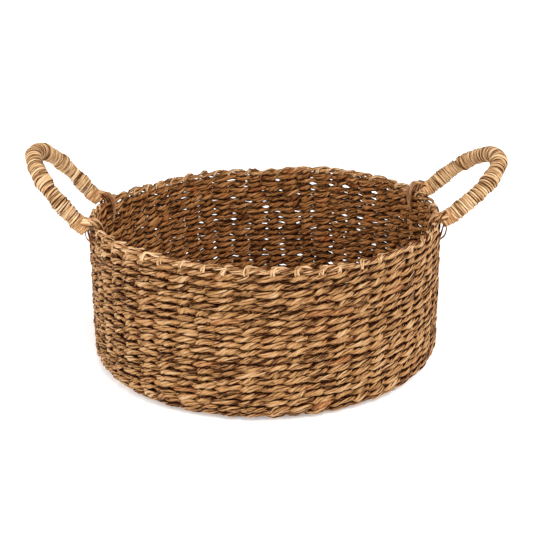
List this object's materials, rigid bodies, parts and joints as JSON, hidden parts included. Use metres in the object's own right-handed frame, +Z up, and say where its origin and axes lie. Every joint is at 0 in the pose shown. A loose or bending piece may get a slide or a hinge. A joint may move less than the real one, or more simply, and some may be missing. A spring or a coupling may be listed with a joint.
{
  "type": "storage basket",
  "caption": "Low round twined basket with straight sides, a bordered rim and wrapped loop handles that swing on lashings at the rim, for keeping and carrying household things.",
  "frame": {"origin": "centre of the underside of the base, on the surface that the basket stands on", "axes": "+Z up, +X from the left handle to the right handle, +Y to the back"},
  "size_m": [0.5008, 0.377, 0.2299],
  "materials": {
    "weave": "matte",
    "stake": "matte",
    "rim": "matte",
    "lashing": "matte",
    "core": "matte",
    "wrap": "matte"
  },
  "bodies": {
    "basket": {"base_weave_centre": "weave", "base_weave_middle": "weave", "base_weave_outer": "weave", "left_back_lashing": "lashing", "left_front_lashing": "lashing", "right_back_lashing": "lashing", "right_front_lashing": "lashing", "rim_border": "rim", "rim_folds": "rim", "stakes_from_centre": "stake", "stakes_from_middle": "stake", "stakes_from_outer": "stake", "wall_row_01": "weave", "wall_row_02": "weave", "wall_row_03": "weave", "wall_row_04": "weave", "wall_row_05": "weave", "wall_row_06": "weave", "wall_row_07": "weave", "wall_row_08": "weave", "wall_row_09": "weave", "wall_row_10": "weave", "wall_row_11": "weave", "wall_row_12": "weave", "wall_row_13": "weave", "wall_row_14": "weave", "wall_row_15": "weave", "wall_row_16": "weave", "wall_row_17": "weave", "wall_row_18": "weave", "wall_row_19": "weave", "wall_row_20": "weave", "wall_row_21": "weave"},
    "left_handle": {"left_handle_core": "core", "left_handle_wrap": "wrap"},
    "right_handle": {"right_handle_core": "core", "right_handle_wrap": "wrap"}
  },
  "joints": [
    {"name": "left_handle_swing", "type": "hinge", "parent": "basket", "child": "left_handle", "pos_m": [-0.1725, 0, 0.158], "axis": [0, 1, 0], "range_deg": [-49, 71]},
    {"name": "right_handle_swing", "type": "hinge", "parent": "basket", "child": "right_handle", "pos_m": [0.1725, 0, 0.158], "axis": [0, -1, 0], "range_deg": [-36, 84]}
  ]
}
